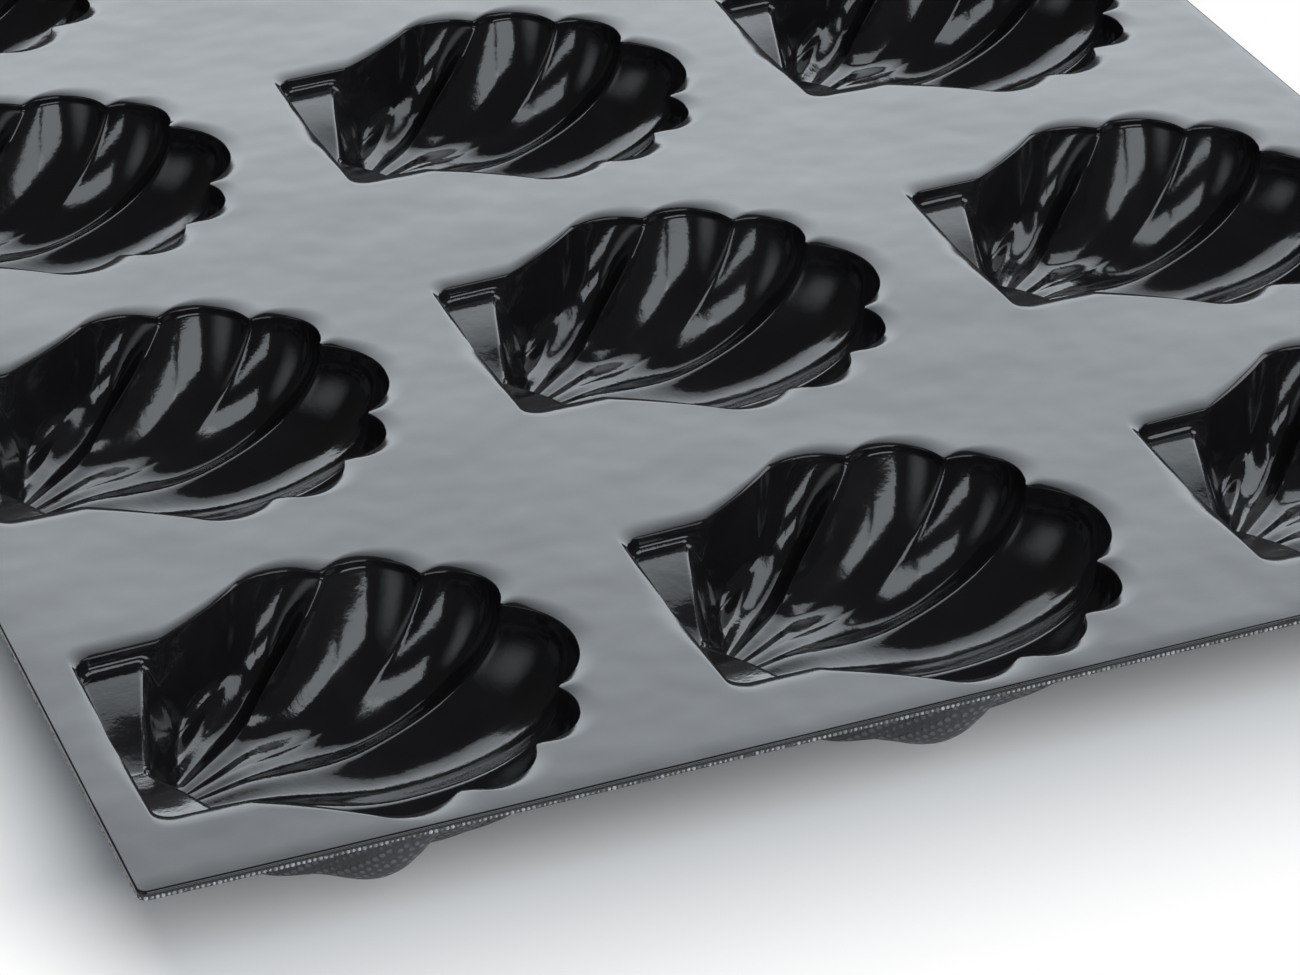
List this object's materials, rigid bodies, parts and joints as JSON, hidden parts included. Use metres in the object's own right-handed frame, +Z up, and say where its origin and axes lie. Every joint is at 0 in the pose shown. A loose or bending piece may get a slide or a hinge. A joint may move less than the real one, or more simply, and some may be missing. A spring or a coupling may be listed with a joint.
{
  "type": "silicone baking mould",
  "caption": "Flexible black silicone baking mat with a grid of fluted scallop shell cups, backed by woven glass cloth.",
  "frame": {"origin": "on the surface that the cups stand on, under the middle of the mat", "axes": "+Z up out of the cups, +X along the short side from the shells' hinges to their fans, +Y along the long side"},
  "size_m": [0.2928, 0.3782, 0.0235],
  "materials": {
    "black_silicone": "smooth glossy moulded silicone",
    "glass_cloth_backing": "woven glass cloth under a satin silicone coat"
  },
  "bodies": {
    "root": {"silicone_sheet": "black_silicone", "silicone_cup_row1_column1": "black_silicone", "silicone_cup_row1_column2": "black_silicone", "silicone_cup_row1_column3": "black_silicone", "silicone_cup_row2_column1": "black_silicone", "silicone_cup_row2_column2": "black_silicone", "silicone_cup_row2_column3": "black_silicone", "silicone_cup_row3_column1": "black_silicone", "silicone_cup_row3_column2": "black_silicone", "silicone_cup_row3_column3": "black_silicone", "silicone_cup_row4_column1": "black_silicone", "silicone_cup_row4_column2": "black_silicone", "silicone_cup_row4_column3": "black_silicone", "glass_cloth_sheet": "glass_cloth_backing", "glass_cloth_cup_row1_column1": "glass_cloth_backing", "glass_cloth_cup_row1_column2": "glass_cloth_backing", "glass_cloth_cup_row1_column3": "glass_cloth_backing", "glass_cloth_cup_row2_column1": "glass_cloth_backing", "glass_cloth_cup_row2_column2": "glass_cloth_backing", "glass_cloth_cup_row2_column3": "glass_cloth_backing", "glass_cloth_cup_row3_column1": "glass_cloth_backing", "glass_cloth_cup_row3_column2": "glass_cloth_backing", "glass_cloth_cup_row3_column3": "glass_cloth_backing", "glass_cloth_cup_row4_column1": "glass_cloth_backing", "glass_cloth_cup_row4_column2": "glass_cloth_backing", "glass_cloth_cup_row4_column3": "glass_cloth_backing"}
  },
  "joints": []
}
